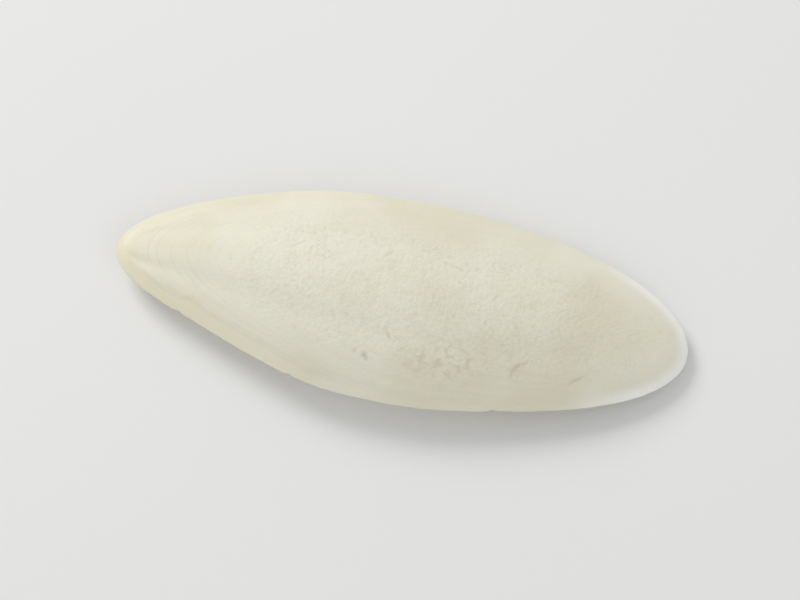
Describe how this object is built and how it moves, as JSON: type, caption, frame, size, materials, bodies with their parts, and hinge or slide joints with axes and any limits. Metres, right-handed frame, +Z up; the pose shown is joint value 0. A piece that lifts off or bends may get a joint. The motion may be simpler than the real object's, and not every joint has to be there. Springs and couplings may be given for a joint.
{
  "type": "cuttlebone",
  "caption": "Dried cuttlebone lying belly down: an oval, arched chalky shell with a granular cream shield, a horny amber front border and a banded belly.",
  "frame": {"origin": "on the surface that the bone lies on, under the middle of its length and width", "axes": "+X along the bone towards its blunt hind end, +Y across it, +Z up out of the shield"},
  "size_m": [0.2, 0.073, 0.0249],
  "materials": {
    "bone": "matt, chalky, off-white to cream, with an amber tint at the front border"
  },
  "bodies": {
    "root": {"cuttlebone": "bone"}
  },
  "joints": []
}
